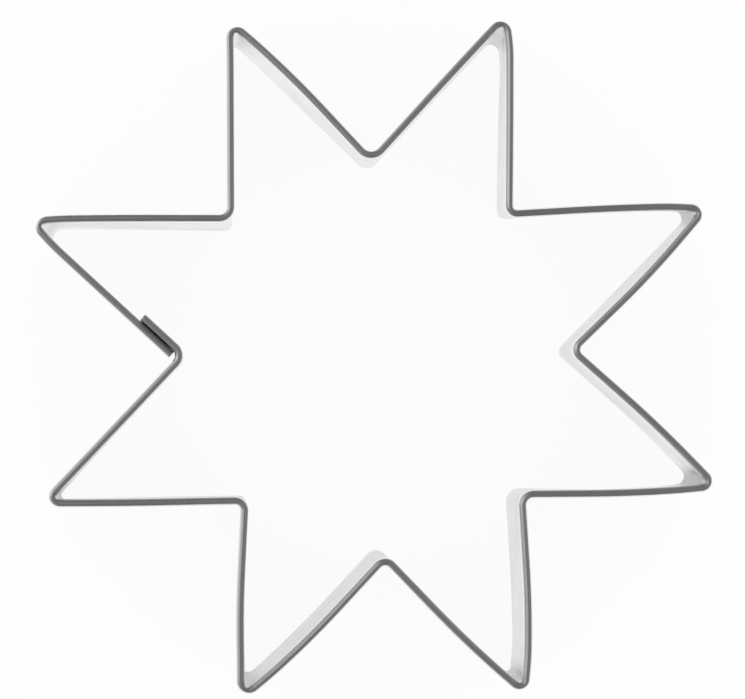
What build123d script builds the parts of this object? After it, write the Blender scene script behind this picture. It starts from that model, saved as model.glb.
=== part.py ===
from build123d import *
import math
import os

# Cookie cutter: one strip of sheet steel bent to an eight-pointed star.
# The upper edge is hemmed inwards and reads as a round bead from above.
# The lower edge is plain and cuts. The two ends lap on the left side,
# and spot welds hold them.
# +Z is up and X runs to the right as the star lies in front of a cook.
# The origin is the middle of the outline, on the plane of the cutting edge.
# Lengths are in millimetres and angles in degrees.

# The whole star
star_width = 90.0
cutter_height = 25.0
point_count = 8
points_skipped = 3
star_turn = 1.4

# The sheet and its hem
sheet = 0.35
hem_gap = 0.30
hem_depth = 2.4

# Bends of the strip, measured on its outer face
tip_bend = 1.4
notch_bend = 0.5
bow_reach = 5.0
nip = 0.3
nip_reach = 6.2
nip_ease = 1.3

# The lap and its welds
lap_length = 5.75
lap_setback = 0.65
hem_clearance = 0.05
wall_clearance = 0.03
lean_start = 1.1
lean_run = 1.4
lean_below_hem = 0.8
lean_drop = 5.0
weld_radius = 1.2
weld_dish = 0.05

# The star was bent by hand, so each corner lies a little off its true place.
# Each row is a corner, clockwise from the tip above the lap: its distance
# from the centre as a share of the true one, its turn from the true angle,
# and its bend as a share of the usual one.
corner_shares = [
    (1.030, -0.1, 1.10),
    (1.012, 0.2, 1.81),
    (1.001, -0.3, 1.08),
    (0.986, 0.2, 2.32),
    (1.017, 0.0, 1.11),
    (0.984, 0.6, 0.91),
    (0.998, 0.5, 1.03),
    (0.991, 0.4, 1.28),
    (1.001, 0.1, 1.02),
    (1.011, 0.1, 1.75),
    (1.015, 0.0, 1.01),
    (1.016, 0.9, 1.39),
    (1.006, -0.4, 1.14),
    (0.985, 1.1, 1.38),
    (0.991, -0.1, 1.00),
    (1.001, 0.0, 1.80),
]
# How far the middle of each side springs outwards, as a share of the side,
# in the same order. The last side carries the lap and is straight.
bow_shares = [
    0.004, 0.0, 0.019, 0.003, 0.002, 0.009, 0.022, 0.016,
    0.014, 0.019, 0.017, 0.022, 0.017, 0.004, 0.0, 0.0,
]
# How far the strip is nipped in before and after each tip, as shares of the
# usual nip, clockwise from the tip above the lap.
nip_shares = [
    (1.6, 0.9),
    (-0.3, 0.7),
    (0.2, 2.2),
    (1.3, 0.2),
    (0.3, 0.7),
    (1.5, 0.5),
    (0.9, -0.3),
    (0.1, 0.1),
]
# Heights of the welds, as shares of the height where the lapped walls touch
weld_height_shares = [0.20, 0.50, 0.80]

# Worked out from the sizes above
bead_width = 2 * sheet + hem_gap
bead_radius = bead_width / 2
bead_centre_height = cutter_height - bead_radius
lap_pitch = bead_width + hem_clearance
lean_top = cutter_height - hem_depth - lean_below_hem
lean_foot = lean_top - lean_drop
lean_depth = lap_pitch - sheet - wall_clearance
corner_step = 180 / point_count


def star_corners():
    """The sharp corners of the outer face, clockwise from the tip above the lap."""
    half_tip = 90 - 180 * points_skipped / point_count
    tip_reach = star_width / 2 + tip_bend * (1 / math.sin(math.radians(half_tip)) - 1)
    cut_turn = math.radians(180 * points_skipped / point_count)
    notch_turn = math.radians(180 * (points_skipped - 1) / point_count)
    notch_reach = tip_reach * math.cos(cut_turn) / math.cos(notch_turn)
    first_angle = 180 - corner_step
    corners = []
    for number, (reach_share, turn, _) in enumerate(corner_shares):
        reach = (notch_reach if number % 2 else tip_reach) * reach_share
        angle = first_angle - corner_step * number + star_turn + turn
        corners.append(Vector(reach, 0).rotate(Axis.Z, angle))
    return corners


def corner_bend(number):
    """The bend radius of a corner on the strip's outer face."""
    usual_bend = notch_bend if number % 2 else tip_bend
    return usual_bend * corner_shares[number][2]


def inward_of(direction):
    """The level direction that points into the star from a clockwise run."""
    return direction.cross(Vector(0, 0, 1)).normalized()


def crossing(point, direction, other_point, other_direction):
    """Where two level lines meet."""
    offset = other_point - point
    span = direction.X * other_direction.Y - direction.Y * other_direction.X
    along = (offset.X * other_direction.Y - offset.Y * other_direction.X) / span
    return point + direction * along


def easing_radius(before, corner, after, reach):
    """The radius of a bend that starts one reach before a corner."""
    turn = (corner - before).get_angle(after - corner)
    return reach / math.tan(math.radians(turn / 2))


def side_middles(corners):
    """The middle of each side but the lap's, sprung outwards by its share."""
    middles = []
    for start, end, bow_share in zip(corners, corners[1:], bow_shares):
        side = end - start
        middles.append((start + end) / 2 - inward_of(side) * side.length * bow_share)
    return middles


def nipped_tip(before, corner, after, number):
    """The corners and bend radii of a tip whose sides are nipped in before it."""
    come = (corner - before).normalized()
    leave = (after - corner).normalized()
    nip_before, nip_after = nip_shares[number // 2]
    tip = crossing(
        corner + inward_of(come) * nip * nip_before,
        come,
        corner + inward_of(leave) * nip * nip_after,
        leave,
    )
    first = corner - come * nip_reach
    last = corner + leave * nip_reach
    ease_in = easing_radius(before, first, tip, nip_ease)
    ease_out = easing_radius(tip, last, after, nip_ease)
    return [first, tip, last], [ease_in, corner_bend(number), ease_out]


def strip_route(corners):
    """The line of the strip's outer face, from its outer end to where the lap leans."""
    tip, notch = corners[0], corners[-1]
    lap_direction = (tip - notch).normalized()
    inward = inward_of(lap_direction)
    inner_notch = crossing(
        notch + inward * lap_pitch, lap_direction, corners[-2], notch - corners[-2]
    )
    outer_end = inner_notch - inward * lap_pitch + lap_direction * lap_setback
    lean_point = inner_notch + lap_direction * lean_start
    route_corners = corners[:-1] + [inner_notch]
    middles = side_middles(route_corners)

    points = [outer_end]
    radii = []
    for number, corner in enumerate(route_corners):
        if number and bow_shares[number - 1]:
            start, middle = route_corners[number - 1], middles[number - 1]
            points.append(middle)
            radii.append(easing_radius(start, middle, corner, bow_reach))
        if number % 2:
            points.append(corner)
            radii.append(corner_bend(number))
        else:
            before = middles[number - 1] if number else outer_end
            tip_points, tip_radii = nipped_tip(before, corner, middles[number], number)
            points += tip_points
            radii += tip_radii
    points.append(lean_point)
    return FilletPolyline(*points, radius=radii), inner_notch, lap_direction


def strip_section(place, direction, lean=0.0):
    """The strip cut across its run: wall, rounded hem and the hem's inner leg."""
    plane = Plane(origin=place, x_dir=inward_of(direction), z_dir=direction * -1)
    leg_foot = cutter_height - hem_depth
    with BuildSketch(plane) as section:
        with BuildLine():
            Polyline(
                (-lean, 0),
                (-lean, lean_foot),
                (0, lean_top),
                (0, bead_centre_height),
            )
            ThreePointArc(
                (0, bead_centre_height),
                (bead_radius, cutter_height),
                (bead_width, bead_centre_height),
            )
            Polyline(
                (bead_width, bead_centre_height),
                (bead_width, leg_foot),
                (bead_width - sheet, leg_foot),
                (bead_width - sheet, bead_centre_height),
            )
            ThreePointArc(
                (bead_width - sheet, bead_centre_height),
                (bead_radius, cutter_height - sheet),
                (sheet, bead_centre_height),
            )
            Polyline(
                (sheet, bead_centre_height),
                (sheet, lean_top),
                (sheet - lean, lean_foot),
                (sheet - lean, 0),
                (-lean, 0),
            )
        make_face()
    return section.sketch


def lap_flap(inner_notch, lap_direction):
    """The inner end of the strip, whose wall leans out to the outer end's wall."""
    start = inner_notch + lap_direction * lean_start
    leaned = start + lap_direction * lean_run
    flat_length = lap_setback + lap_length - lean_start - lean_run
    upright_section = strip_section(start, lap_direction)
    leaned_section = strip_section(leaned, lap_direction, lean_depth)
    easing = loft([upright_section.face(), leaned_section.face()], ruled=True)
    flat = extrude(leaned_section, amount=flat_length, dir=lap_direction)
    return easing + flat


def weld_places(inner_notch, lap_direction):
    """Where each weld's axis meets the outer face of the lap, and the way it runs."""
    inward = inward_of(lap_direction)
    flat_start = lean_start + lean_run
    flat_end = lap_setback + lap_length
    middle = inner_notch - inward * lap_pitch + lap_direction * (flat_start + flat_end) / 2
    places = [middle + Vector(0, 0, lean_foot * share) for share in weld_height_shares]
    return places, inward


def weld_disc(place, inward, depth_start, depth_end):
    """A round disc on a weld's axis between two depths into the lap."""
    plane = Plane(origin=place + inward * depth_start, z_dir=inward)
    return plane * Cylinder(
        weld_radius, depth_end - depth_start, align=(Align.CENTER, Align.CENTER, Align.MIN)
    )


def cookie_cutter():
    """The band and its welds, placed on the middle of the outline."""
    corners = star_corners()
    route, inner_notch, lap_direction = strip_route(corners)
    start_section = strip_section(route @ 0, route % 0)
    band = sweep(start_section, path=route) + lap_flap(inner_notch, lap_direction)

    places, inward = weld_places(inner_notch, lap_direction)
    stack = 2 * sheet + wall_clearance
    welds = []
    for place in places:
        band -= weld_disc(place, inward, -weld_dish, stack + weld_dish)
        welds.append(weld_disc(place, inward, weld_dish, stack - weld_dish))

    box = band.bounding_box()
    centring = Location((-box.center().X, -box.center().Y, 0))
    return {"star_band": centring * band, "spot_welds": centring * Compound(welds)}


os.makedirs("parts", exist_ok=True)
for node, shape in cookie_cutter().items():
    export_step(shape, f"parts/{node}.step")
    print(node, len(shape.solids()), "solids", round(shape.volume, 1), "mm3")
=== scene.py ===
import math

import bpy
import numpy as np
from mathutils import Matrix


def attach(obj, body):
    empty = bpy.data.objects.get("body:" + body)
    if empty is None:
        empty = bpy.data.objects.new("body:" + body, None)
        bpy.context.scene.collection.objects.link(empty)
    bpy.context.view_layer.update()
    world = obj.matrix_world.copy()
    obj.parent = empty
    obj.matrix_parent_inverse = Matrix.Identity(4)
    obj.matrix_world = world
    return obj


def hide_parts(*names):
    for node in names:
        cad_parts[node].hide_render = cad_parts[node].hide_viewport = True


# Cookie cutter: the looks of a hand-bent strip of bright sheet steel.
# Lengths are in metres. The strip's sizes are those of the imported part.

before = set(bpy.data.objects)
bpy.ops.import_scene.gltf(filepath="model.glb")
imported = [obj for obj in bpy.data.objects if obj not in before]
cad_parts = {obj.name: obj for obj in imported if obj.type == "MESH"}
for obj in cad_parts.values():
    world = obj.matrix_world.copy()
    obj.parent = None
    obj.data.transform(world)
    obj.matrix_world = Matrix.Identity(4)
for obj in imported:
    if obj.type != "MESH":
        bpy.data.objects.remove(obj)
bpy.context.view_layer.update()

MM = 0.001

# The whole star
STAR_WIDTH = 90.0 * MM
CUTTER_HEIGHT = 25.0 * MM
POINT_COUNT = 8
POINTS_SKIPPED = 3
STAR_TURN = 1.4

# The sheet and its hem
SHEET = 0.35 * MM
HEM_GAP = 0.30 * MM
HEM_DEPTH = 2.4 * MM
# The cut edges are rounded off by a share of the sheet. The rounding's middle
# stands in from its corner by a share of that.
BURR_SHARE = 0.18
BURR_MIDDLE_SHARE = 0.3

# Bends of the strip, measured on its outer face
TIP_BEND = 1.4 * MM
NOTCH_BEND = 0.5 * MM
BOW_REACH = 5.0 * MM
NIP = 0.3 * MM
NIP_REACH = 6.2 * MM
NIP_EASE = 1.3 * MM

# The lap and its welds
LAP_LENGTH = 5.75 * MM
LAP_SETBACK = 0.65 * MM
HEM_CLEARANCE = 0.05 * MM
WALL_CLEARANCE = 0.03 * MM
LEAN_START = 1.1 * MM
LEAN_RUN = 1.4 * MM
LEAN_BELOW_HEM = 0.8 * MM
LEAN_DROP = 5.0 * MM
WELD_RADIUS = 1.2 * MM
WELD_DISH = 0.05 * MM
WELD_HEIGHT_SHARES = (0.20, 0.50, 0.80)
# The electrodes' dimple is flat up to this share of its radius
DIMPLE_FLAT_SHARE = 0.7
# A weld mark from its middle to its rim: shares of its radius, and how far it
# stands up there as shares of the dimple's depth
MARK_RADIUS_SHARES = (0.0, 0.45, 0.72, 0.82, 0.9, 0.96)
MARK_RISE_SHARES = (-0.80, -0.80, -0.76, -0.35, 0.10, -0.5)

# Each row is a corner, clockwise from the tip above the lap: its distance
# from the centre as a share of the true one, its turn from the true angle in
# degrees, and its bend as a share of the usual one.
CORNER_SHARES = (
    (1.030, -0.1, 1.10),
    (1.012, 0.2, 1.81),
    (1.001, -0.3, 1.08),
    (0.986, 0.2, 2.32),
    (1.017, 0.0, 1.11),
    (0.984, 0.6, 0.91),
    (0.998, 0.5, 1.03),
    (0.991, 0.4, 1.28),
    (1.001, 0.1, 1.02),
    (1.011, 0.1, 1.75),
    (1.015, 0.0, 1.01),
    (1.016, 0.9, 1.39),
    (1.006, -0.4, 1.14),
    (0.985, 1.1, 1.38),
    (0.991, -0.1, 1.00),
    (1.001, 0.0, 1.80),
)
# How far the middle of each side springs outwards, as a share of the side, in
# the same order. The side with the lap is straight and has no row.
BOW_SHARES = (
    0.004, 0.0, 0.019, 0.003, 0.002, 0.009, 0.022, 0.016,
    0.014, 0.019, 0.017, 0.022, 0.017, 0.004, 0.0,
)
# How far the strip is nipped in before and after each tip, as shares of the
# usual nip, clockwise from the tip above the lap
NIP_SHARES = (
    (1.6, 0.9),
    (-0.3, 0.7),
    (0.2, 2.2),
    (1.3, 0.2),
    (0.3, 0.7),
    (1.5, 0.5),
    (0.9, -0.3),
    (0.1, 0.1),
)
# The bend radius of the hem's inner line inside each tip, in millimetres, in
# the same order: the sharper it is, the more the bead is squeezed there
PINCH_BENDS = (0.36, 0.39, 0.42, 0.28, 0.38, 0.36, 0.42, 0.30)
# How far each corner of the cutting edge has crept from under the bead, in
# millimetres to the right and to the back, and its bend as a share of the
# bead's. No hem stiffens the cutting edge, so some of its bends are sharper than
# the bead's and some are blunter.
EDGE_CREEP = (
    (0.07, -0.14, 1.0),
    (0.00, -0.53, 0.6),
    (-0.21, -0.05, 0.7),
    (0.22, -0.12, 1.1),
    (0.54, -0.10, 0.9),
    (-0.03, 0.44, 1.6),
    (1.27, 0.82, 1.0),
    (-0.23, 0.01, 1.2),
    (-0.06, -0.16, 1.0),
    (-0.47, 0.11, 1.6),
    (-0.13, -0.07, 0.8),
    (-0.35, 0.58, 1.6),
    (-0.30, 0.14, 0.9),
    (0.00, -0.05, 0.6),
    (0.27, -0.21, 0.6),
    (0.01, -0.13, 1.0),
)
# How far the middle of each side springs in at the cutting edge, in millimetres
EDGE_SPRING = (
    0.09, 0.00, 0.54, 0.00, 0.22, 0.03, 0.55, -0.07,
    -0.11, 0.17, -0.06, 0.24, 0.00, 0.11, -0.11,
)

# The strip's outer end isn't cut quite square: how much shorter the strip is at
# its foot than at its top, and how far along it that is felt
END_SLANT = 0.75 * MM
END_REACH = 2.4 * MM

# Three waves that hand bending leaves in the walls, the first a product of two
# sines: their heights, the lengths along the strip and up the wall over which
# they turn by a radian, and the angles that they start from
SLOW_WAVE, CROSS_WAVE, LONG_WAVE = 0.022 * MM, 0.010 * MM, 0.018 * MM
SLOW_RUN, CROSS_RUN, LONG_RUN = 9.1 * MM, 5.3 * MM, 14.7 * MM
SLOW_RISE, CROSS_RISE = 8.3 * MM, 6.1 * MM
SLOW_START, SLOW_RISE_START, LONG_START = 0.7, 0.4, 2.1

# How much painted shade darkens the inside of each tip, where the walls shade each other,
# and how much rougher the steel is made there, clockwise from the tip above the lap.
# It is so up to a share of the reach from the bend's middle, and fades over one reach
# more.
TIP_SHADE_AND_DULLNESS = (0.2, 0.15, 0.3, 0.6, 0.75, 0.45, 0.4, 0.5)
TIP_SHADE_REACH = 2.1 * MM
TIP_SHADE_WHOLE_SHARE = 0.15
# The bead's inner flank gets painted shade and more roughness round each tip's bend in the same
# way
FLANK_SHADE_AND_DULLNESS = 0.7
FLANK_REACH = 1.1 * MM
FLANK_WHOLE_SHARE = 0.8
# How much the hem's inner leg is painted lighter, as a painted highlight, and made smoother than
# the rest
LEG_HIGHLIGHT_AND_POLISH = 0.25
LEG_SIDE_SHARE = 0.95
# How dark the groove between the two beads of the lap is, on the outer end and
# on the inner end, and how far its shade takes to fade along the strip
GROOVE_SHADES = (1.3, 0.65)
GROOVE_FADE = 0.6 * MM

# The rolled steel: its colour, its roughness, and its tone where no pattern
# brightens it
STEEL_COLOUR = (0.70, 0.70, 0.705, 1.0)
STEEL_ROUGHNESS = 0.22
STEEL_TONE = 0.89
# Its patterns, as how often they repeat in a metre along the strip and up it
FINE_LINES = (60.0, 9000.0, 1.0)
BROAD_LINES = (25.0, 1800.0, 1.0)
BANDS = (12.0, 420.0, 1.0)
# Patterns that don't follow the strip, as how often they repeat in a metre
SCUFFS = (900.0, 900.0, 2600.0)
SMEARS = 90.0
# How much each pattern adds to the tone or the roughness
BROAD_LINE_TONE = 0.05
BAND_TONE = 0.12
SMEAR_TONE = 0.05
SCUFF_ROUGHNESS = 0.06
SMEAR_ROUGHNESS = (-0.03, 0.06)
# What whole painted shade and dullness takes from the tone, as painted shade, and adds to the
# roughness; where it is below none it lightens the tone as a painted highlight
PAINTED_SHADE_TONE = 0.42
DULL_ROUGHNESS = 0.25
# How deep the patterns that show as relief are
FINE_LINE_DEPTH = 0.02 * MM
SMEAR_DEPTH = 0.1 * MM

# The steel of the weld marks, duller and mottled
MARK_COLOUR = (0.55, 0.53, 0.50, 1.0)
MARK_ROUGHNESS = 0.38
MARK_MOTTLE = 2200.0
MARK_MOTTLE_TONES = (0.75, 1.05)
MARK_MOTTLE_ROUGHNESS = 0.15
MARK_PITS = 9000.0
PIT_DEPTH = 0.03 * MM

WHITE = (1.0, 1.0, 1.0, 1.0)

# The white board that the cutter lies on, from the middle to its rim, and how
# far below the cutting edge it is
BOARD_REACH = 3.0
BOARD_DROP = 0.02 * MM
BOARD_WHITE = (0.97, 0.97, 0.97, 1.0)
# What the camera sees of it: its own glow and how much of the sight that makes,
# the rest being the board as the room lights it
CAMERA_GLOW = 0.998
CAMERA_GLOW_SHARE = 0.94
# What metal sees of it: a tone at the front and at the back of the star, a gain
# times the squared distance from the middle and a loss times the product of X
# and Y. Both stop at a limit, in square metres, and the sum has its own gain.
BOARD_DEEP = 0.06
BOARD_FRONT_TONE = 0.775
BOARD_BACK_TONE = 0.93
RIM_GAIN = 56.0
RIM_LIMIT = 0.0016
SLANT_LOSS = 67.0
SLANT_LIMIT = 0.0006
METAL_BOARD_GAIN = 1.25
METAL_GLOW_SHARE = 0.75

# What metal sees of the room: a dim glow from everywhere, a tall screen to the
# left and a little to the back, a pale wall to the right and to the left, and a
# low wall of light all round but at the front right, up to this height in it
ROOM_GLOW = 0.175
SCREEN_GLOW = 0.52
SCREEN_WAY = (-0.956, 0.292)
SCREEN_SHARPNESS = 9.0
RIGHT_WALL_GLOW = 0.05
LEFT_WALL_GLOW = 0.10
LOW_WALL_GLOW = 0.13
LOW_WALL_TOP = 0.55

# Worked out from the sizes above
BEAD_WIDTH = 2 * SHEET + HEM_GAP
BEAD_RADIUS = BEAD_WIDTH / 2
BEAD_CENTRE = CUTTER_HEIGHT - BEAD_RADIUS
LEG_FOOT = CUTTER_HEIGHT - HEM_DEPTH
LAP_PITCH = BEAD_WIDTH + HEM_CLEARANCE
LEAN_TOP = CUTTER_HEIGHT - HEM_DEPTH - LEAN_BELOW_HEM
LEAN_FOOT = LEAN_TOP - LEAN_DROP
LEAN_DEPTH = LAP_PITCH - SHEET - WALL_CLEARANCE

# How finely the strip and its section are cut
TIP_STEPS = 18
NOTCH_STEPS = 12
BOW_STEPS = 6
NIP_STEPS = 4
RUN_STEPS = 4
TIP_RUN_STEPS = 2
BEAD_STEPS = 20
GAP_STEPS = 8
LEG_STEPS = 3
LAP_STEP = 0.2 * MM
WALL_STEP = 1.25 * MM
WELD_STEP = 0.25 * MM
LEAST_STEP = 0.4 * WELD_STEP
MARK_STEPS = 48

# The picture, in pixels of a 745 by 699 frame, and where things lie in it
IMAGE_WIDTH = 745
IMAGE_HEIGHT = 699
SENSOR_WIDTH = 36.0
STAR_CENTRE_PIXEL = (376.9, 356.1)
UPRIGHT_PIXEL = (276.5, 387.5)
PIXELS_PER_MM = 8.0
EDGE_SHRINK = 0.061


def smooth_step(value):
    """Three times the square less twice the cube, held between zero and one."""
    held = np.clip(value, 0.0, 1.0)
    return held * held * (3.0 - 2.0 * held)


def unit(vector):
    """The vector at length one."""
    return vector / np.linalg.norm(vector)


def inward_of(direction):
    """The direction turned a quarter clockwise, into a star walked clockwise."""
    return np.stack((direction[..., 1], -direction[..., 0]), axis=-1)


def crossing(point, direction, other_point, other_direction):
    """Where two level lines meet, by the ratio of two cross products."""
    offset = other_point - point
    span = direction[0] * other_direction[1] - direction[1] * other_direction[0]
    along = (offset[0] * other_direction[1] - offset[1] * other_direction[0]) / span
    return point + direction * along


def star_corners():
    """The sharp corners of the bead's outer line: reach times cosine and sine."""
    half_tip = math.radians(90 - 180 * POINTS_SKIPPED / POINT_COUNT)
    tip_reach = STAR_WIDTH / 2 + TIP_BEND * (1 / math.sin(half_tip) - 1)
    cut_turn = math.radians(180 * POINTS_SKIPPED / POINT_COUNT)
    notch_turn = math.radians(180 * (POINTS_SKIPPED - 1) / POINT_COUNT)
    notch_reach = tip_reach * math.cos(cut_turn) / math.cos(notch_turn)
    step = 180 / POINT_COUNT
    corners = []
    for number, (reach_share, turn, _) in enumerate(CORNER_SHARES):
        reach = (notch_reach if number % 2 else tip_reach) * reach_share
        angle = math.radians(180 - step - step * number + STAR_TURN + turn)
        corners.append(np.array((reach * math.cos(angle), reach * math.sin(angle))))
    return corners


def round_bend(before, corner, after, radius, steps):
    """An arc that touches both runs: from radius times the tangent of half the
    turn before the corner, points at even angles about the arc's centre."""
    come, leave = unit(corner - before), unit(after - corner)
    turn = math.atan2(come[0] * leave[1] - come[1] * leave[0], come @ leave)
    start = corner - come * radius * math.tan(abs(turn) / 2)
    side = np.array((-come[1], come[0])) * math.copysign(1.0, turn)
    angles = np.linspace(0.0, abs(turn), steps + 1)[:, None]
    points = start + radius * (np.sin(angles) * come + (1 - np.cos(angles)) * side)
    tangents = np.cos(angles) * come + np.sin(angles) * side
    return points, tangents


def slow_bend(before, corner, after, reach, steps):
    """A parabola from one reach before the corner to one reach after it."""
    come, leave = unit(corner - before), unit(after - corner)
    share = np.linspace(0.0, 1.0, steps + 1)[:, None]
    start, end = corner - come * reach, corner + leave * reach
    points = start * (1 - share) ** 2 + corner * 2 * share * (1 - share) + end * share**2
    tangents = come * (1 - share) + leave * share
    return points, tangents / np.linalg.norm(tangents, axis=1)[:, None]


def straight_run(start, end, steps):
    """Even points between two ends, without the ends themselves."""
    share = np.linspace(0.0, 1.0, steps + 1)[1:-1, None]
    points = start + (end - start) * share
    return points, np.repeat(unit(end - start)[None], len(points), axis=0)


def pinched_hem(radius, pinch, turn, steps):
    """How wide the hem is along a tip's bend, as shares of its usual width.

    Its inner line runs straight to a small bend of its own. At each angle from
    the tip's middle that line lies at the inner radius over the cosine of the
    angle left to the side, and in the small bend on that bend's own circle."""
    angles = np.abs(np.linspace(-turn / 2, turn / 2, steps + 1))
    inner = radius - BEAD_WIDTH
    reach = (inner - pinch) / math.cos(turn / 2)
    rise = np.sqrt(np.maximum(pinch**2 - (reach * np.sin(angles)) ** 2, 0.0))
    touch = math.atan2(pinch * math.sin(turn / 2), reach + pinch * math.cos(turn / 2))
    on_side = inner / np.cos(turn / 2 - angles)
    away = np.where(angles < touch, reach * np.cos(angles) + rise, on_side)
    return (radius - away) / BEAD_WIDTH


def nipped_tip(before, corner, after, radius, shares, pinch):
    """A tip whose sides are nipped in just before its bend: the two sides are
    moved inwards by their nips, and the bend sits where they then cross. Each
    part is its points, their tangents and the hem's width there."""
    come, leave = unit(corner - before), unit(after - corner)
    tip = crossing(
        corner + inward_of(come) * NIP * shares[0],
        come,
        corner + inward_of(leave) * NIP * shares[1],
        leave,
    )
    first, last = corner - come * NIP_REACH, corner + leave * NIP_REACH
    ease_in = slow_bend(before, first, tip, NIP_EASE, NIP_STEPS)
    bend = round_bend(first, tip, last, radius, TIP_STEPS)
    ease_out = slow_bend(tip, last, after, NIP_EASE, NIP_STEPS)
    run_in = straight_run(ease_in[0][-1], bend[0][0], TIP_RUN_STEPS)
    run_out = straight_run(bend[0][-1], ease_out[0][0], TIP_RUN_STEPS)
    parts = [full_hem(part) for part in (ease_in, run_in, bend, run_out, ease_out)]
    come, leave = unit(tip - first), unit(last - tip)
    parts[2] = bend + (pinched_hem(radius, pinch, math.acos(come @ leave), TIP_STEPS),)
    return parts


def full_hem(part):
    """Points and tangents with the hem at its full width."""
    return part + (np.ones(len(part[0])),)


def side_middles(corners, springs):
    """Where each side but the lap's is sprung out to: its middle plus a share
    of its length along its outward normal, less the spring of that edge."""
    middles = []
    for start, end, bow_share, spring in zip(corners, corners[1:], BOW_SHARES, springs):
        outward = -inward_of(unit(end - start))
        length = np.linalg.norm(end - start)
        middles.append((start + end) / 2 + outward * (length * bow_share - spring * MM))
    return middles


def strip_line(corners, bends, springs):
    """The outer face's line from the strip's outer end to its inner end.

    Straight runs, round bends at the corners and a slow bend in the middle of
    each side. Returns the points, their tangents, the hem's width at each as a
    share of the usual one, and the lap's facts."""
    lap_way = unit(corners[0] - corners[-1])
    lap_inward = inward_of(lap_way)
    last_way = unit(corners[-1] - corners[-2])
    inner_notch = crossing(
        corners[-1] + lap_inward * LAP_PITCH, lap_way, corners[-2], last_way
    )
    outer_end = inner_notch - lap_inward * LAP_PITCH + lap_way * LAP_SETBACK
    inner_end = inner_notch + lap_way * (LAP_SETBACK + LAP_LENGTH)
    middles = side_middles(corners[:-1] + [inner_notch], springs)

    line = [full_hem((outer_end[None], lap_way[None]))]
    for number, corner in enumerate(corners[:-1] + [inner_notch]):
        before = outer_end if number == 0 else middles[number - 1]
        after = inner_end if number == len(corners) - 1 else middles[number]
        if number % 2:
            bend = [full_hem(round_bend(before, corner, after, bends[number], NOTCH_STEPS))]
        else:
            shares, pinch = NIP_SHARES[number // 2], PINCH_BENDS[number // 2] * MM
            bend = nipped_tip(before, corner, after, bends[number], shares, pinch)
        start = line[-1][0][-1]
        if number == 0:
            fine_end = start + lap_way * (LAP_LENGTH + LAP_SETBACK)
            parts = [
                straight_run(start, fine_end, lap_steps()),
                (fine_end[None], lap_way[None]),
                straight_run(fine_end, bend[0][0][0], 2 * RUN_STEPS + BOW_STEPS),
            ]
        else:
            bow = slow_bend(corners[number - 1], before, corner, BOW_REACH, BOW_STEPS)
            parts = [
                straight_run(start, bow[0][0], RUN_STEPS),
                bow,
                straight_run(bow[0][-1], bend[0][0][0], RUN_STEPS),
            ]
        line += [full_hem(part) for part in parts] + bend
    last = straight_run(line[-1][0][-1], inner_end, lap_steps())
    line += [full_hem(last), full_hem((inner_end[None], lap_way[None]))]
    lap = {"notch": inner_notch, "way": lap_way, "inward": lap_inward}
    points, tangents, hem = (np.concatenate(column) for column in zip(*line))
    return points, tangents, hem, lap


def lap_steps():
    """How many fine steps the lap is cut into."""
    return int(round((LAP_LENGTH + LAP_SETBACK) / LAP_STEP))


def edge_corners(corners):
    """The corners of the cutting edge: those of the bead, moved by their creep."""
    return [
        corner + np.array((right, back)) * MM
        for corner, (right, back, _) in zip(corners, EDGE_CREEP)
    ]


def bead_bends():
    """The bend radius of each corner on the bead's outer line."""
    usual = (TIP_BEND, NOTCH_BEND)
    return [usual[number % 2] * row[2] for number, row in enumerate(CORNER_SHARES)]


def wall_heights():
    """Heights up a wall, even ones and closer ones about each weld."""
    even = np.arange(WALL_STEP, LEG_FOOT, WALL_STEP)
    rows = [even]
    for share in WELD_HEIGHT_SHARES:
        middle = LEAN_FOOT * share
        reach = WELD_RADIUS + WELD_STEP
        rows.append(np.arange(middle - reach, middle + reach, WELD_STEP))
    heights = np.unique(np.round(np.concatenate(rows), 6))
    gaps = np.diff(heights, prepend=-1.0)
    return heights[gaps > LEAST_STEP]


def strip_profile():
    """The strip's cross section as a closed loop of depth and height.

    Up the outer face, over the bead as a half circle, down the inner leg, round
    its foot, up inside the hem, back over a smaller half circle, down the inner
    face and round the cut edge."""
    heights = wall_heights()
    burr = SHEET * BURR_SHARE
    bevel = BURR_MIDDLE_SHARE * burr
    over = np.linspace(math.pi, 0.0, BEAD_STEPS + 1)[1:-1]
    back = np.linspace(0.0, math.pi, GAP_STEPS + 1)
    leg = np.linspace(BEAD_CENTRE, LEG_FOOT + 2 * burr, LEG_STEPS + 1)
    leg = np.append(leg, LEG_FOOT + burr)
    rows = [
        np.stack((np.zeros_like(heights), heights), axis=1),
        np.array(((0.0, BEAD_CENTRE),)),
        np.stack(
            (BEAD_RADIUS + BEAD_RADIUS * np.cos(over), BEAD_CENTRE + BEAD_RADIUS * np.sin(over)),
            axis=1,
        ),
        np.stack((np.full_like(leg, BEAD_WIDTH), leg), axis=1),
        np.array(
            (
                (BEAD_WIDTH - bevel, LEG_FOOT + bevel),
                (BEAD_WIDTH - burr, LEG_FOOT),
                (BEAD_WIDTH - SHEET + burr, LEG_FOOT),
                (BEAD_WIDTH - SHEET, LEG_FOOT + burr),
            )
        ),
        np.stack(
            (
                BEAD_RADIUS + HEM_GAP / 2 * np.cos(back),
                BEAD_CENTRE + HEM_GAP / 2 * np.sin(back),
            ),
            axis=1,
        ),
        np.stack((np.full_like(heights, SHEET), heights), axis=1)[::-1],
        np.array(
            (
                (SHEET, 2 * burr),
                (SHEET, burr),
                (SHEET - bevel, bevel),
                (SHEET - burr, 0.0),
                (burr, 0.0),
                (bevel, bevel),
                (0.0, burr),
                (0.0, 2 * burr),
            )
        ),
    ]
    return np.concatenate(rows)


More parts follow.
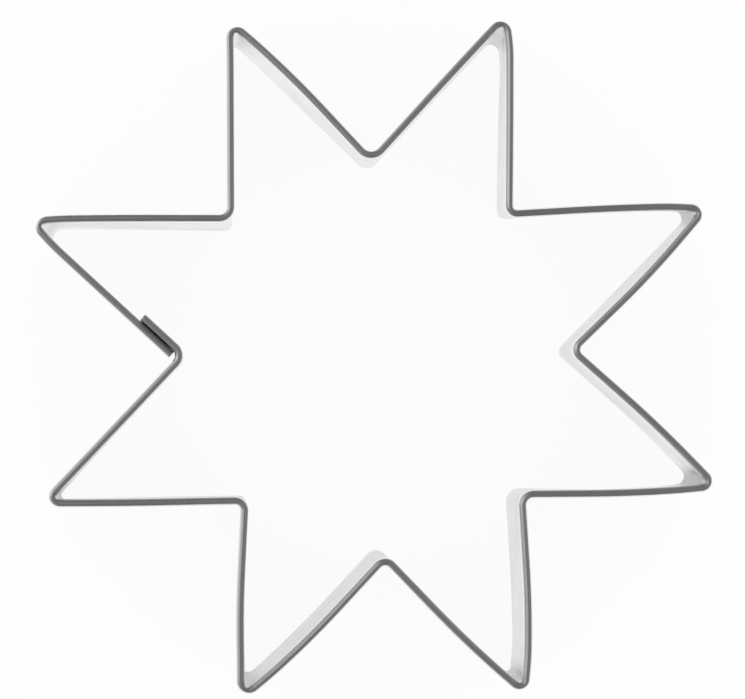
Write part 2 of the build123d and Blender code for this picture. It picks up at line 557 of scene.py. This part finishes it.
def hand_bent_waves(along, heights):
    """How far the sheet stands off true: the sum of three slow waves along and up
    the wall, which grows evenly from none at the hem to all at the cutting edge."""
    drop = np.clip(1.0 - heights / LEG_FOOT, 0.0, 1.0)
    slow = np.sin(along / SLOW_RUN + SLOW_START)
    slow = slow * np.sin(heights / SLOW_RISE + SLOW_RISE_START)
    cross = np.sin(along / CROSS_RUN + heights / CROSS_RISE)
    long = np.sin(along / LONG_RUN + LONG_START)
    return (SLOW_WAVE * slow + CROSS_WAVE * cross + LONG_WAVE * long) * drop


def place_strip():
    """Carries the profile along the line: points of rings by profile steps.

    The bead follows the upper line, the cutting edge the lower one, and between
    them each point is their mean by height. On the inner end the wall leans out
    by a smooth step along the lap and a smooth step down the wall. The outer end
    is cut on a slant: its points move along the lap by a shift that grows evenly
    down the wall and fades evenly along the strip."""
    corners = star_corners()
    bends = bead_bends()
    edge_bends = [bend * row[2] for bend, row in zip(bends, EDGE_CREEP)]
    upper, upper_way, hem, lap = strip_line(corners, bends, (0.0,) * len(EDGE_SPRING))
    lower, lower_way, _, _ = strip_line(edge_corners(corners), edge_bends, EDGE_SPRING)
    profile = strip_profile()

    steps = np.linalg.norm(np.diff(upper, axis=0), axis=1)
    along = np.concatenate(((0.0,), np.cumsum(steps)))
    depth, height = profile[:, 0][None], profile[:, 1][None]
    weight = (height / LEG_FOOT).clip(0.0, 1.0)[..., None]

    from_end = (along[-1] - along)[:, None]
    lap_reach = LAP_SETBACK + LAP_LENGTH
    run_share = smooth_step((lap_reach - LEAN_START - from_end) / LEAN_RUN)
    drop_share = smooth_step((LEAN_TOP - height) / LEAN_DROP)
    lean = LEAN_DEPTH * run_share * drop_share
    waves = hand_bent_waves(along[:, None], height)
    lap_calm = smooth_step((along[:, None] - lap_reach) / lap_reach)
    lap_calm = lap_calm * smooth_step((from_end - lap_reach) / lap_reach)
    press = weld_dimples(along[:, None], from_end, height, depth)
    width = np.where(height >= LEG_FOOT, hem[:, None], 1.0)
    offset = (depth * width - lean + waves * lap_calm + press)[..., None]

    upper_points = upper[:, None] + inward_of(upper_way)[:, None] * offset
    lower_points = lower[:, None] + inward_of(lower_way)[:, None] * offset
    level = upper_points * weight + lower_points * (1.0 - weight)
    slant = END_SLANT * (1.0 - along / END_REACH).clip(0.0, 1.0)[:, None, None]
    level = level + lap["way"] * slant * (1.0 - weight)
    rise = np.broadcast_to(height[..., None], level.shape[:2] + (1,))
    return np.concatenate((level, rise), axis=-1), along, profile, lap, upper


def weld_along():
    """How far each weld lies from the inner notch along the lap."""
    return (LEAN_START + LEAN_RUN + LAP_SETBACK + LAP_LENGTH) / 2


def weld_dimples(along, from_end, height, depth):
    """The electrodes' dimples: each face is pressed in by a smooth step of the
    distance from the weld's middle, inwards outside and outwards inside."""
    outer_run = along + LAP_SETBACK
    inner_run = LAP_SETBACK + LAP_LENGTH - from_end
    press = 0.0
    for share in WELD_HEIGHT_SHARES:
        rise = height - LEAN_FOOT * share
        outer = np.hypot(outer_run - weld_along(), rise)
        inner = np.hypot(inner_run - weld_along(), rise)
        press = press + np.where(depth < SHEET / 2, 1.0, 0.0) * dimple(outer)
        press = press - np.where(depth > SHEET / 2, 1.0, 0.0) * dimple(inner)
    return press


def dimple(distance):
    """A flat-bottomed dish: full depth in the middle, none past the rim."""
    past_flat = distance / WELD_RADIUS - DIMPLE_FLAT_SHARE
    return WELD_DISH * (1.0 - smooth_step(past_flat / (1.0 - DIMPLE_FLAT_SHARE)))


def groove_shade(along, profile):
    """Shade in the groove between the two beads of the lap, on the side of each
    bead that faces the other, by a smooth step across it: on the outer end from
    0.12 to 0.92 of its width, and on the inner end from 0.3 of its width to its
    outer line, where it is under a half. A smooth step along the strip ends the
    shade with the lap."""
    across = profile[:, 0] / BEAD_WIDTH
    bead = profile[:, 1] > LEG_FOOT
    from_end = along[-1] - along
    outer_end = 1.0 - smooth_step((along - LAP_LENGTH + GROOVE_FADE) / GROOVE_FADE)
    inner_end = smooth_step((LAP_LENGTH + LAP_SETBACK / 2 - from_end) / GROOVE_FADE)
    outer_side = smooth_step(across * 1.25 - 0.15) * bead
    inner_side = smooth_step(0.45 - across * 1.5) * bead
    outer_shade, inner_shade = GROOVE_SHADES
    outer = outer_shade * outer_end[:, None] * outer_side
    return outer + inner_shade * inner_end[:, None] * inner_side


def tip_shade_and_dullness(upper, along, profile):
    """How much painted shade and dullness each point has: on the inner side of the
    strip alone, one less a smooth step of the distance from the nearest tip's bend,
    times its share, as painted shade inside the tips. Round the bend the bead's
    inner flank has it too, by a smooth step from half to five sixths of its width.
    The groove of the lap adds its painted shade, and the inner leg's bare side has
    some taken off, even below none, as a painted highlight."""
    tips = np.array(star_corners()[::2])
    reach = np.linalg.norm(tips, axis=1)[:, None] - TIP_BEND
    middles = tips / np.linalg.norm(tips, axis=1)[:, None] * (reach - TIP_BEND)
    away = np.linalg.norm(upper[:, None] - middles[None], axis=-1)
    near = 1.0 - smooth_step(away / TIP_SHADE_REACH - TIP_SHADE_WHOLE_SHARE)
    shares = (np.array(TIP_SHADE_AND_DULLNESS) * near).max(axis=1)
    across = profile[:, 0] / BEAD_WIDTH
    below = profile[:, 1] < BEAD_CENTRE
    inner = (profile[:, 0] > SHEET / 2) & below
    flank = smooth_step(across * 3.0 - 1.5) * ~inner
    close = 1.0 - smooth_step(away.min(axis=1) / FLANK_REACH - FLANK_WHOLE_SHARE)
    # Painted shade inside the tips and on the bead's inner flank round them
    shade_and_dull = shares[:, None] * inner + FLANK_SHADE_AND_DULLNESS * close[:, None] * flank
    leg = (across > LEG_SIDE_SHARE) & below
    return shade_and_dull + groove_shade(along, profile) - LEG_HIGHLIGHT_AND_POLISH * leg


def sheet_mesh(name, points, along, across, shade_and_dullness):
    """A closed tube of rings with both ends capped: each face joins a point, the
    next on its ring and the same two on the next ring. Its map is the distance
    along the strip and round the section in metres, and each point says how much
    painted shade and dullness it has."""
    rings, spokes = points.shape[:2]
    ring = np.arange(rings - 1)[:, None] * spokes
    spoke = np.arange(spokes)[None]
    after = (spoke + 1) % spokes
    quads = np.stack(
        (ring + spoke, ring + after, ring + spokes + after, ring + spokes + spoke), axis=-1
    ).reshape(-1, 4)
    caps = [list(range(spokes))[::-1], list(range((rings - 1) * spokes, rings * spokes))]
    mesh = bpy.data.meshes.new(name)
    mesh.from_pydata(points.reshape(-1, 3), [], quads.tolist() + caps)
    mesh.update()

    layer = mesh.uv_layers.new(name="strip")
    u = np.repeat(along[:, None], spokes + 1, axis=1)
    v = np.repeat(across[None], rings, axis=0)
    corner_u = np.stack((u[:-1, :-1], u[:-1, :-1], u[1:, 1:], u[1:, 1:]), axis=-1)
    corner_v = np.stack((v[:-1, :-1], v[:-1, 1:], v[1:, 1:], v[1:, :-1]), axis=-1)
    flat = np.stack((corner_u, corner_v), axis=-1).reshape(-1, 2)
    ends = np.stack((points[0, ::-1, 0], points[0, ::-1, 2]), axis=-1)
    far_ends = np.stack((points[-1, :, 0], points[-1, :, 2]), axis=-1)
    layer.uv.foreach_set("vector", np.concatenate((flat, ends, far_ends)).ravel())
    # Painted shade and dullness per point, a painted highlight where below none
    shade_and_dull = mesh.attributes.new("shade_and_dullness", "FLOAT", "POINT")
    shade_and_dull.data.foreach_set("value", shade_and_dullness.ravel())
    smooth = np.ones(len(mesh.polygons), dtype=bool)
    smooth[-2:] = False
    mesh.polygons.foreach_set("use_smooth", smooth)
    return mesh


def add_object(name, mesh, material):
    """A new object at the origin with one material."""
    mesh.materials.append(material)
    made = bpy.data.objects.new(name, mesh)
    bpy.context.collection.objects.link(made)
    return made


def outline_shift(points):
    """What brings the middle of the outline to the origin: less half the sum of
    its lowest and its highest X and Y."""
    low = points[..., :2].reshape(-1, 2).min(axis=0)
    high = points[..., :2].reshape(-1, 2).max(axis=0)
    return -(low + high) / 2


def weld_mark_mesh(name, lap, shift):
    """Weld marks as turned forms: at each angle the radius times its cosine along
    the lap and its sine up the wall, with a flat dish and a raised rim on both
    faces of the two walls."""
    radii = np.array(MARK_RADIUS_SHARES) * WELD_RADIUS
    rise = np.array(MARK_RISE_SHARES) * WELD_DISH
    turns = np.linspace(0.0, 2 * math.pi, MARK_STEPS, endpoint=False)
    stack = 2 * SHEET + WALL_CLEARANCE
    ring_radius = np.concatenate((radii[1:], radii[1:][::-1]))
    ring_depth = np.concatenate((-rise[1:], (stack + rise[1:])[::-1]))
    vertices, faces = [], []
    for share in WELD_HEIGHT_SHARES:
        base = sum(len(part) for part in vertices)
        middle = lap["notch"] - lap["inward"] * LAP_PITCH + lap["way"] * weld_along() + shift
        axis = np.array((lap["inward"][0], lap["inward"][1], 0.0))
        way = np.array((lap["way"][0], lap["way"][1], 0.0))
        up = np.array((0.0, 0.0, 1.0))
        centre = np.array((middle[0], middle[1], LEAN_FOOT * share))
        ring = np.cos(turns)[None, :, None] * way + np.sin(turns)[None, :, None] * up
        rings = centre + ring_radius[:, None, None] * ring + ring_depth[:, None, None] * axis
        poles = centre + np.array((-rise[0], stack + rise[0]))[:, None] * axis
        vertices += [rings.reshape(-1, 3), poles]
        count = len(turns)
        here = np.arange(count)
        after = (here + 1) % count
        for number in range(len(ring_radius) - 1):
            low, high = base + number * count, base + (number + 1) * count
            faces += np.stack((low + here, low + after, high + after, high + here), 1).tolist()
        first_pole = base + len(ring_radius) * count
        top = base + (len(ring_radius) - 1) * count
        faces += np.stack((base + after, base + here, np.full(count, first_pole)), 1).tolist()
        faces += np.stack((top + here, top + after, np.full(count, first_pole + 1)), 1).tolist()
    mesh = bpy.data.meshes.new(name)
    mesh.from_pydata(np.concatenate(vertices), [], faces)
    mesh.update()
    mesh.polygons.foreach_set("use_smooth", np.ones(len(mesh.polygons), dtype=bool))
    return mesh


class Nodes:
    """Short ways to add and join the shader nodes of one material or world."""

    def __init__(self, tree):
        self.tree = tree
        self.tree.nodes.clear()

    def add(self, kind, **inputs):
        """A node of a kind, with its inputs fed by name."""
        node = self.tree.nodes.new("ShaderNode" + kind)
        for name, value in inputs.items():
            self.feed(node.inputs[name.replace("_", " ")], value)
        return node

    def feed(self, socket, value):
        """Joins a socket to another node's output, or sets its value."""
        if isinstance(value, bpy.types.NodeSocket):
            self.tree.links.new(value, socket)
        else:
            socket.default_value = value

    def math(self, operation, first, second=0.0, third=0.0):
        """One step of arithmetic on up to three values."""
        node = self.tree.nodes.new("ShaderNodeMath")
        node.operation = operation
        for socket, value in zip(node.inputs, (first, second, third)):
            self.feed(socket, value)
        return node.outputs[0]

    def ramp(self, value, low, high, start=0.0, end=1.0):
        """A smooth step of the value from low to high, between start and end."""
        node = self.tree.nodes.new("ShaderNodeMapRange")
        node.interpolation_type = "SMOOTHSTEP"
        for name, item in (
            ("Value", value),
            ("From Min", low),
            ("From Max", high),
            ("To Min", start),
            ("To Max", end),
        ):
            self.feed(node.inputs[name], item)
        return node.outputs[0]

    def noise(self, vector, scale, detail=2.0, roughness=0.5):
        """Soft noise that repeats so often in a metre."""
        node = self.add("TexNoise", Vector=vector, Scale=scale, Detail=detail)
        node.inputs["Roughness"].default_value = roughness
        return node.outputs["Fac"]

    def stretched_noise(self, vector, scales, detail=2.0, roughness=0.5):
        """Soft noise with its own scale on each axis."""
        node = self.tree.nodes.new("ShaderNodeMapping")
        self.feed(node.inputs["Vector"], vector)
        node.inputs["Scale"].default_value = scales
        return self.noise(node.outputs["Vector"], 1.0, detail, roughness)

    def tinted(self, colour, tone):
        """The colour multiplied by a tone."""
        mix = self.add("Mix")
        mix.data_type = "RGBA"
        mix.blend_type = "MULTIPLY"
        mix.inputs["Factor"].default_value = 1.0
        self.feed(mix.inputs[6], colour)
        self.feed(mix.inputs[7], tone)
        return mix.outputs[2]

    def metal(self, colour, roughness, bump):
        """Bare metal as the material's surface."""
        shader = self.add("BsdfPrincipled", Metallic=1.0, Roughness=roughness)
        self.feed(shader.inputs["Base Color"], colour)
        self.feed(shader.inputs["Normal"], bump.outputs["Normal"])
        output = self.add("OutputMaterial")
        self.feed(output.inputs["Surface"], shader.outputs["BSDF"])

    def mix_shaders(self, share, first, second):
        """The first shader with a share of the second."""
        mix = self.add("MixShader")
        self.feed(mix.inputs[0], share)
        self.feed(mix.inputs[1], first.outputs[0])
        self.feed(mix.inputs[2], second.outputs[0])
        return mix


def new_material(name):
    """An empty material and its nodes."""
    material = bpy.data.materials.new(name)
    material.use_nodes = True
    return material, Nodes(material.node_tree)


def rolled_steel(name):
    """Bright rolled sheet: fine lines along the strip, faint smears and scuffs.

    The tone is a base plus each pattern times its weight, less a share of the
    painted shade in the tips, round the bead's flank and in the lap's groove, and
    more on the inner leg's painted highlight. The same values make the steel rougher."""
    material, nodes = new_material(name)
    strip = nodes.add("UVMap")
    strip.uv_map = "strip"
    strip = strip.outputs["UV"]
    place = nodes.add("TexCoord").outputs["Object"]
    shade_and_dull = nodes.add("Attribute")
    shade_and_dull.attribute_name = "shade_and_dullness"
    shade_and_dull = shade_and_dull.outputs["Fac"]

    fine_lines = nodes.stretched_noise(strip, FINE_LINES, 3.0, 0.6)
    broad_lines = nodes.stretched_noise(strip, BROAD_LINES)
    bands = nodes.stretched_noise(strip, BANDS, 3.0, 0.65)
    smears = nodes.noise(place, SMEARS, 3.0, 0.55)
    scuffs = nodes.stretched_noise(place, SCUFFS, 4.0, 0.7)

    tone = nodes.math("MULTIPLY_ADD", broad_lines, BROAD_LINE_TONE, STEEL_TONE)
    tone = nodes.math("MULTIPLY_ADD", bands, BAND_TONE, tone)
    tone = nodes.math("MULTIPLY_ADD", smears, SMEAR_TONE, tone)
    # Painted shade in the tips and the lap's groove darkens the tone, and a painted highlight
    # lightens the inner leg
    tone = nodes.math("MULTIPLY", tone, nodes.math("MULTIPLY_ADD", shade_and_dull, -PAINTED_SHADE_TONE, 1.0))

    smooth, rough = (STEEL_ROUGHNESS + change for change in SMEAR_ROUGHNESS)
    roughness = nodes.ramp(smears, 0.35, 0.75, smooth, rough)
    scuffed = nodes.ramp(scuffs, 0.6, 0.8)
    roughness = nodes.math("MULTIPLY_ADD", scuffed, SCUFF_ROUGHNESS, roughness)
    roughness = nodes.math("MULTIPLY_ADD", shade_and_dull, DULL_ROUGHNESS, roughness)

    line_bump = nodes.add("Bump", Height=fine_lines, Strength=0.25, Distance=FINE_LINE_DEPTH)
    bump = nodes.add("Bump", Height=smears, Strength=0.3, Distance=SMEAR_DEPTH)
    nodes.feed(bump.inputs["Normal"], line_bump.outputs["Normal"])
    nodes.metal(nodes.tinted(STEEL_COLOUR, tone), roughness, bump)
    return material


def weld_steel(name):
    """Dull pressed weld marks: a mottled grey with fine pits."""
    material, nodes = new_material(name)
    place = nodes.add("TexCoord").outputs["Object"]
    mottle = nodes.noise(place, MARK_MOTTLE, 3.0, 0.6)
    tone = nodes.ramp(mottle, 0.3, 0.7, *MARK_MOTTLE_TONES)
    rough = MARK_ROUGHNESS + MARK_MOTTLE_ROUGHNESS
    roughness = nodes.ramp(mottle, 0.3, 0.7, MARK_ROUGHNESS, rough)
    pits = nodes.noise(place, MARK_PITS)
    bump = nodes.add("Bump", Height=pits, Strength=0.4, Distance=PIT_DEPTH)
    nodes.metal(nodes.tinted(MARK_COLOUR, tone), roughness, bump)
    return material


def white_board(name):
    """White board, which the camera sees nearly white with the cutter's shadow.

    Metal sees it uneven: a smooth step from the front tone to the back tone,
    plus the distance squared times a gain, less the product of X and Y times a
    loss, both up to their limits. Everything else sees it matt white."""
    material, nodes = new_material(name)
    rays = nodes.add("LightPath")
    matt = nodes.add("BsdfDiffuse", Color=BOARD_WHITE)
    camera_glow = nodes.add("Emission", Color=WHITE, Strength=CAMERA_GLOW)
    for_camera = nodes.mix_shaders(CAMERA_GLOW_SHARE, matt, camera_glow)

    place = nodes.add("SeparateXYZ", Vector=nodes.add("TexCoord").outputs["Object"])
    across, deep = place.outputs["X"], place.outputs["Y"]
    squared = nodes.math("MULTIPLY_ADD", across, across, nodes.math("MULTIPLY", deep, deep))
    rim = nodes.math("MINIMUM", squared, RIM_LIMIT)
    slant = nodes.math("MAXIMUM", nodes.math("MULTIPLY", across, deep), -SLANT_LIMIT)
    slant = nodes.math("MINIMUM", slant, SLANT_LIMIT)
    tone = nodes.ramp(deep, -BOARD_DEEP, BOARD_DEEP, BOARD_FRONT_TONE, BOARD_BACK_TONE)
    tone = nodes.math("MULTIPLY_ADD", rim, RIM_GAIN, tone)
    tone = nodes.math("MULTIPLY_ADD", slant, -SLANT_LOSS, tone)
    tone = nodes.math("MULTIPLY", tone, METAL_BOARD_GAIN)
    metal_glow = nodes.add("Emission", Color=WHITE, Strength=tone)
    metal_matt = nodes.add("BsdfDiffuse", Color=tone)
    for_metal = nodes.mix_shaders(METAL_GLOW_SHARE, metal_matt, metal_glow)

    not_camera = nodes.mix_shaders(rays.outputs["Is Glossy Ray"], matt, for_metal)
    board_look = nodes.mix_shaders(rays.outputs["Is Camera Ray"], not_camera, for_camera)
    output = nodes.add("OutputMaterial")
    nodes.feed(output.inputs["Surface"], board_look.outputs[0])
    return material


def board_mesh(name):
    """A level square, a little below the cutting edge."""
    corners = ((-1, -1), (1, -1), (1, 1), (-1, 1))
    square = [(x * BOARD_REACH, y * BOARD_REACH, -BOARD_DROP) for x, y in corners]
    mesh = bpy.data.meshes.new(name)
    mesh.from_pydata(square, [], [(0, 1, 2, 3)])
    return mesh


def studio_light():
    """A plain white room for matt things and for the camera.

    Metal sees a dim glow instead, with a tall white screen, two pale walls and a
    low wall of light. The screen fades with a power of the cosine between its
    own level direction and the one looked in."""
    world = bpy.data.worlds.new("studio")
    bpy.context.scene.world = world
    world.use_nodes = True
    nodes = Nodes(world.node_tree)
    way = nodes.add("TexCoord").outputs["Generated"]
    parts = nodes.add("SeparateXYZ", Vector=way)
    across, deep, high = (parts.outputs[axis] for axis in "XYZ")

    level = nodes.math("SUBTRACT", 1.0, nodes.math("POWER", high, 2.0))
    level = nodes.math("SQRT", nodes.math("MAXIMUM", level, 0.0001))
    to_left, to_back = SCREEN_WAY
    turned = nodes.math("MULTIPLY_ADD", across, to_left, nodes.math("MULTIPLY", deep, to_back))
    facing = nodes.math("MAXIMUM", nodes.math("DIVIDE", turned, level), 0.0)
    fan = nodes.math("POWER", facing, SCREEN_SHARPNESS)
    screen = nodes.math("MULTIPLY", fan, nodes.ramp(turned, -0.05, 0.18))
    right_wall = nodes.math("MULTIPLY", nodes.ramp(across, 0.1, 0.6), RIGHT_WALL_GLOW)
    left_wall = nodes.math("MULTIPLY", nodes.ramp(across, -0.1, -0.6), LEFT_WALL_GLOW)
    front_right = nodes.math("SUBTRACT", across, deep)
    low_wall = nodes.ramp(front_right, 0.3, 1.1, LOW_WALL_GLOW, 0.0)
    low_wall = nodes.math("MULTIPLY", nodes.ramp(high, LOW_WALL_TOP, 0.0), low_wall)

    metal_sees = nodes.math("MULTIPLY_ADD", screen, SCREEN_GLOW, ROOM_GLOW)
    for wall in (left_wall, right_wall, low_wall):
        metal_sees = nodes.math("ADD", metal_sees, wall)
    strength = nodes.add("Mix")
    strength.data_type = "FLOAT"
    nodes.feed(strength.inputs["Factor"], nodes.add("LightPath").outputs["Is Glossy Ray"])
    strength.inputs[2].default_value = 1.0
    nodes.feed(strength.inputs[3], metal_sees)
    glow = nodes.add("Background", Color=WHITE)
    nodes.feed(glow.inputs["Strength"], strength.outputs[0])
    output = nodes.add("OutputWorld")
    nodes.feed(output.inputs["Surface"], glow.outputs[0])


def top_camera(shift):
    """A camera nearly straight above the star.

    Upright lines meet at one pixel, so that pixel gives the lens's tilt. The
    scale at the bead and the edge's shrink towards that pixel give its height."""
    height = CUTTER_HEIGHT / EDGE_SHRINK
    focal = PIXELS_PER_MM / MM * (height - CUTTER_HEIGHT)
    middle = np.array((IMAGE_WIDTH / 2, IMAGE_HEIGHT / 2))
    down = unit(np.append((np.array(UPRIGHT_PIXEL) - middle) / focal, 1.0))
    up = -down
    right = np.array((1.0, 0.0, 0.0))
    right = unit(right - right @ up * up)
    back = np.cross(up, right)
    turn = np.stack((right, back, up))
    ray = turn @ np.append((np.array(STAR_CENTRE_PIXEL) - middle) / focal, 1.0)
    reach = (CUTTER_HEIGHT - height) / ray[2]
    place = np.array((shift[0] - ray[0] * reach, shift[1] - ray[1] * reach, height))

    camera_data = bpy.data.cameras.new("camera")
    camera_data.sensor_width = SENSOR_WIDTH
    camera_data.lens = focal * SENSOR_WIDTH / IMAGE_WIDTH
    camera_data.clip_start = 0.01
    camera = bpy.data.objects.new("camera", camera_data)
    bpy.context.collection.objects.link(camera)
    pose = np.identity(4)
    pose[:3, :3] = turn * np.array((1.0, -1.0, -1.0))
    pose[:3, 3] = place
    camera.matrix_world = Matrix(pose.tolist())
    bpy.context.scene.camera = camera


def profile_lengths(profile):
    """The distance walked round the profile, closed back to its start."""
    closed = np.concatenate((profile, profile[:1]))
    steps = np.linalg.norm(np.diff(closed, axis=0), axis=1)
    return np.concatenate(((0.0,), np.cumsum(steps)))


strip_points, strip_along, strip_section, strip_lap, bead_line = place_strip()
to_origin = outline_shift(bead_line)
strip_points[..., :2] += to_origin

star_strip = add_object(
    "star_strip",
    sheet_mesh(
        "star_strip",
        strip_points,
        strip_along,
        profile_lengths(strip_section),
        tip_shade_and_dullness(bead_line, strip_along, strip_section),
    ),
    rolled_steel("sheet_steel_look"),
)
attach(star_strip, "root")
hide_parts("star_band")

weld_marks = add_object(
    "weld_marks",
    weld_mark_mesh("weld_marks", strip_lap, to_origin),
    weld_steel("weld_steel_look"),
)
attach(weld_marks, "root")
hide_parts("spot_welds")

board = add_object("board", board_mesh("board"), white_board("white_board_look"))

studio_light()
top_camera(to_origin)
bpy.context.scene.view_settings.view_transform = "Standard"

bpy.context.view_layer.update()
